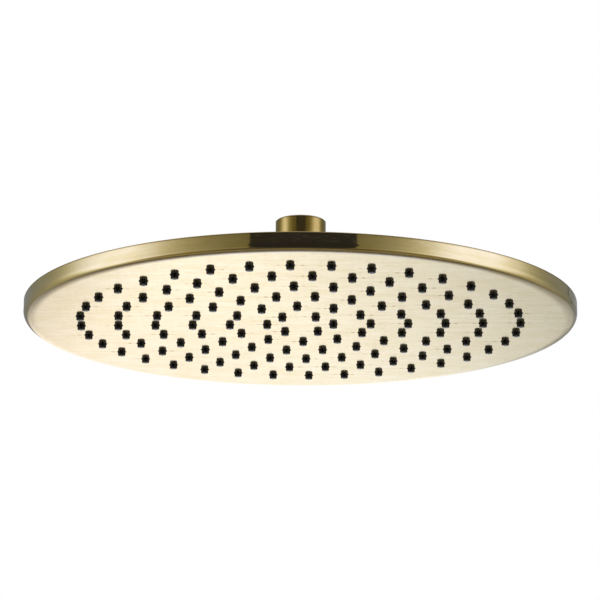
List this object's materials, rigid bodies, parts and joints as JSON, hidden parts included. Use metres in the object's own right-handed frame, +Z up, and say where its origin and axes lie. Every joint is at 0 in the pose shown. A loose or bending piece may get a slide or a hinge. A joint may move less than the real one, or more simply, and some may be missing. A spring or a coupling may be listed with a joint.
{
  "type": "rain shower head",
  "caption": "Flat round rain shower head in brushed bronze, with black silicone nozzles in rings and a ball swivel inlet on top.",
  "frame": {"origin": "on the axis of the inlet, at the first turn of its thread", "axes": "+Z up along the inlet's axis, out of its mouth; the nozzles point along -Z; +X along a spoke of nozzles"},
  "size_m": [0.3, 0.3, 0.0606],
  "materials": {
    "brushed_bronze": "brushed, clear lacquer",
    "plain_brass": "as turned",
    "black_silicone": "satin",
    "black_rubber": "matt",
    "white_acetal": "as moulded",
    "steel": "stainless"
  },
  "bodies": {
    "inlet": {"inlet_connector": "brushed_bronze", "inlet_washer": "black_rubber", "filter_screen": "steel", "flow_regulator": "white_acetal", "regulator_ring": "black_rubber"},
    "upper_ring": {"upper_ball_ring": "white_acetal"},
    "lower_seat": {"lower_ball_seat": "white_acetal"},
    "head": {"front_shell": "brushed_bronze", "nozzle_mat": "black_silicone", "clamp_ring": "white_acetal", "rim_gasket": "black_rubber", "stay_pillars": "plain_brass", "back_plate": "brushed_bronze", "back_screws": "steel", "backing_ring": "plain_brass", "inlet_hub": "brushed_bronze", "hub_o_ring": "black_rubber", "hub_screws": "steel", "seat_o_ring": "black_rubber", "swivel_nut": "brushed_bronze"}
  },
  "joints": [
    {"name": "tilt_side", "type": "hinge", "parent": "inlet", "child": "upper_ring", "pos_m": [0, 0, -0.03084], "axis": [0, 1, 0], "range_deg": [-12, 12]},
    {"name": "tilt_front", "type": "hinge", "parent": "upper_ring", "child": "lower_seat", "pos_m": [0, 0, -0.03084], "axis": [1, 0, 0], "range_deg": [-12, 12]},
    {"name": "head_spin", "type": "hinge", "parent": "lower_seat", "child": "head", "pos_m": [0, 0, -0.03084], "axis": [0, 0, 1], "continuous": true}
  ]
}
